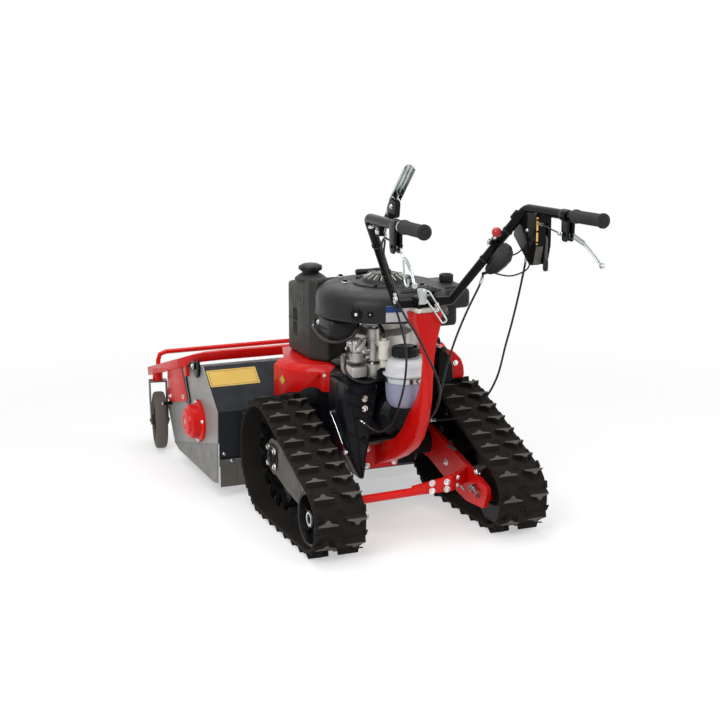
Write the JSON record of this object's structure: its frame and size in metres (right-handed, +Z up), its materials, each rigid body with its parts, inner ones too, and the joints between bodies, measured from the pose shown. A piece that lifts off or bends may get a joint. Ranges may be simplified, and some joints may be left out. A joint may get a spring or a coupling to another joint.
{
  "type": "tracked hammer knife mower",
  "caption": "Walk-behind flail mower on two rubber tracks: engine on a gearcase, flail deck on casters in front, red column with a V-shaped handlebar, levers and cables.",
  "frame": {"origin": "middle of the bounding box at the ground under tracks and wheels", "axes": "+X to the operator's right, +Y forward over the deck, +Z up"},
  "size_m": [0.9512, 1.9098, 1.1541],
  "materials": {
    "red_paint": "gloss red enamel",
    "black_paint": "satin black paint",
    "charcoal_paint": "satin charcoal paint",
    "grey_paint": "satin grey paint",
    "cast_aluminium": "as cast",
    "bright_steel": "polished",
    "zinc_plate": "zinc plated",
    "track_rubber": "matt, dusty",
    "wheel_rubber": "matt",
    "grip_rubber": "matt, ribbed",
    "cable_jacket": "satin",
    "black_plastic": "fine grained",
    "tank_plastic": "fine grained",
    "bottle_plastic": "translucent white",
    "cream_plate": "satin cream"
  },
  "bodies": {
    "chassis": {"transmission_case": "black_paint", "handle_column": "red_paint", "column_clamp": "cream_plate", "tie_bar": "red_paint", "left_idler_arm": "red_paint", "right_idler_arm": "red_paint", "left_track_plate": "grey_paint", "right_track_plate": "grey_paint", "left_track": "track_rubber", "right_track": "track_rubber", "left_side_plate": "grey_paint", "right_side_plate": "grey_paint", "left_grip": "grip_rubber", "right_grip": "grip_rubber", "left_fender": "red_paint", "right_fender": "red_paint", "deck_shell": "charcoal_paint", "rear_flap": "grip_rubber", "bearing_cover": "red_paint", "drive_cover": "red_paint", "front_frame": "red_paint", "crankcase": "cast_aluminium", "blower_shroud": "black_plastic", "recoil_cover": "black_plastic", "air_cleaner": "black_plastic", "carburettor": "cast_aluminium", "muffler": "black_paint", "fuel_tank": "tank_plastic", "oil_bottle": "bottle_plastic", "handlebar": "black_paint", "shift_gate": "black_paint", "shift_cable": "cable_jacket", "throttle_cable": "cable_jacket", "clutch_cable": "cable_jacket", "steering_cable": "cable_jacket"},
    "lock_lever": {"lock_lever": "bright_steel"},
    "left_sprocket": {"left_sprocket": "black_paint"},
    "right_sprocket": {"right_sprocket": "black_paint"},
    "left_idler": {"left_idler": "black_paint"},
    "right_idler": {"right_idler": "black_paint"},
    "left_caster_fork": {"left_caster_fork": "black_paint"},
    "right_caster_fork": {"right_caster_fork": "black_paint"},
    "left_caster_wheel": {"left_caster_wheel": "wheel_rubber"},
    "right_caster_wheel": {"right_caster_wheel": "wheel_rubber"},
    "left_hand_lever": {"left_hand_lever": "bright_steel"},
    "right_hand_lever": {"right_hand_lever": "bright_steel"},
    "front_flap": {"front_flap": "charcoal_paint"},
    "hammer_rotor": {"hammer_rotor": "black_paint"},
    "hammer_row_1": {"hammer_row_1": "bright_steel"},
    "hammer_row_2": {"hammer_row_2": "bright_steel"},
    "hammer_row_3": {"hammer_row_3": "bright_steel"},
    "hammer_row_4": {"hammer_row_4": "bright_steel"},
    "starter_grip": {"starter_grip": "black_plastic"},
    "fuel_cap": {"fuel_cap": "black_plastic"},
    "oil_cap": {"oil_cap": "black_plastic"},
    "bottle_cap": {"bottle_cap": "black_plastic"},
    "clutch_lever": {"clutch_lever": "zinc_plate"},
    "shift_lever": {"shift_lever": "bright_steel"},
    "throttle_lever": {"throttle_lever": "black_plastic"},
    "knob_lever": {"knob_lever": "bright_steel"}
  },
  "joints": [
    {"name": "left_sprocket_spin", "type": "hinge", "parent": "chassis", "child": "left_sprocket", "pos_m": [-0.29, 0.00211, 0.18551], "axis": [1, 0, 0], "continuous": true, "deforming": ["left_track"]},
    {"name": "left_idler_spin", "type": "hinge", "parent": "chassis", "child": "left_idler", "pos_m": [-0.29, -0.39138, 0.112], "axis": [1, 0, 0], "continuous": true},
    {"name": "right_sprocket_spin", "type": "hinge", "parent": "chassis", "child": "right_sprocket", "pos_m": [0.29, 0.00211, 0.18551], "axis": [1, 0, 0], "continuous": true, "deforming": ["right_track"]},
    {"name": "right_idler_spin", "type": "hinge", "parent": "chassis", "child": "right_idler", "pos_m": [0.29, -0.39138, 0.112], "axis": [1, 0, 0], "continuous": true},
    {"name": "hammer_rotor_spin", "type": "hinge", "parent": "chassis", "child": "hammer_rotor", "pos_m": [0, 0.41711, 0.206], "axis": [1, 0, 0], "continuous": true},
    {"name": "hammer_row_1_swing", "type": "hinge", "parent": "hammer_rotor", "child": "hammer_row_1", "pos_m": [0, 0.46661, 0.2555], "axis": [1, 0, 0], "range_deg": [-60, 60]},
    {"name": "hammer_row_2_swing", "type": "hinge", "parent": "hammer_rotor", "child": "hammer_row_2", "pos_m": [0, 0.36762, 0.2555], "axis": [1, 0, 0], "range_deg": [-60, 60]},
    {"name": "hammer_row_3_swing", "type": "hinge", "parent": "hammer_rotor", "child": "hammer_row_3", "pos_m": [0, 0.36762, 0.1565], "axis": [1, 0, 0], "range_deg": [-60, 60]},
    {"name": "hammer_row_4_swing", "type": "hinge", "parent": "hammer_rotor", "child": "hammer_row_4", "pos_m": [0, 0.46661, 0.1565], "axis": [1, 0, 0], "range_deg": [-60, 60]},
    {"name": "left_caster_swivel", "type": "hinge", "parent": "chassis", "child": "left_caster_fork", "pos_m": [-0.434, 0.88711, 0.236], "axis": [0, 0, 1], "range_deg": [-320, 1.5]},
    {"name": "left_caster_wheel_spin", "type": "hinge", "parent": "left_caster_fork", "child": "left_caster_wheel", "pos_m": [-0.4399, 0.85363, 0.1], "axis": [0.9848, -0.1736, 0], "continuous": true},
    {"name": "right_caster_swivel", "type": "hinge", "parent": "chassis", "child": "right_caster_fork", "pos_m": [0.434, 0.88711, 0.236], "axis": [0, 0, 1], "range_deg": [-1.5, 320]},
    {"name": "right_caster_wheel_spin", "type": "hinge", "parent": "right_caster_fork", "child": "right_caster_wheel", "pos_m": [0.4399, 0.85363, 0.1], "axis": [0.9848, 0.1736, 0], "continuous": true},
    {"name": "front_flap_swing", "type": "hinge", "parent": "chassis", "child": "front_flap", "pos_m": [0, 0.69011, 0.3], "axis": [1, 0, 0], "range_deg": [-25, 14]},
    {"name": "clutch_lever_press", "type": "hinge", "parent": "chassis", "child": "clutch_lever", "pos_m": [-0.213, -0.60189, 0.962], "axis": [1, 0, 0], "range_deg": [0, 24]},
    {"name": "left_hand_lever_squeeze", "type": "hinge", "parent": "chassis", "child": "left_hand_lever", "pos_m": [-0.25, -0.76889, 0.948], "axis": [1, 0, 0], "range_deg": [-22, 0]},
    {"name": "right_hand_lever_squeeze", "type": "hinge", "parent": "chassis", "child": "right_hand_lever", "pos_m": [0.25, -0.76889, 0.948], "axis": [1, 0, 0], "range_deg": [-16, 0]},
    {"name": "lock_lever_open", "type": "hinge", "parent": "chassis", "child": "lock_lever", "pos_m": [-0.014, -0.43789, 0.7265], "axis": [0, 1, 0], "range_deg": [-75, 0]},
    {"name": "shift_lever_move", "type": "hinge", "parent": "chassis", "child": "shift_lever", "pos_m": [0.262, -0.56389, 0.923], "axis": [1, 0, 0], "range_deg": [-22, 6]},
    {"name": "throttle_lever_move", "type": "hinge", "parent": "chassis", "child": "throttle_lever", "pos_m": [0.1763, -0.49789, 0.846], "axis": [1, 0, 0], "range_deg": [-30, 12]},
    {"name": "knob_lever_move", "type": "hinge", "parent": "chassis", "child": "knob_lever", "pos_m": [0.15, -0.50289, 0.895], "axis": [1, 0, 0], "range_deg": [-12, 12]},
    {"name": "starter_rope_pull", "type": "slide", "parent": "chassis", "child": "starter_grip", "axis": [0, 1, 0], "range_m": [0, 0.6]},
    {"name": "fuel_cap_turn", "type": "hinge", "parent": "chassis", "child": "fuel_cap", "pos_m": [-0.138, 0.14411, 0.728], "axis": [0, 0, 1], "range_deg": [0, 90]},
    {"name": "oil_cap_turn", "type": "hinge", "parent": "chassis", "child": "oil_cap", "pos_m": [0.213, -0.09789, 0.704], "axis": [0, 0, 1], "range_deg": [0, 90]},
    {"name": "bottle_cap_turn", "type": "hinge", "parent": "chassis", "child": "bottle_cap", "pos_m": [-0.008, -0.28789, 0.552], "axis": [0, 0, 1], "range_deg": [0, 120]}
  ],
  "couplings": [
    {"joint": "left_idler_spin", "follows": "left_sprocket_spin", "ratio": 1.8034},
    {"joint": "right_idler_spin", "follows": "right_sprocket_spin", "ratio": 1.8034}
  ]
}
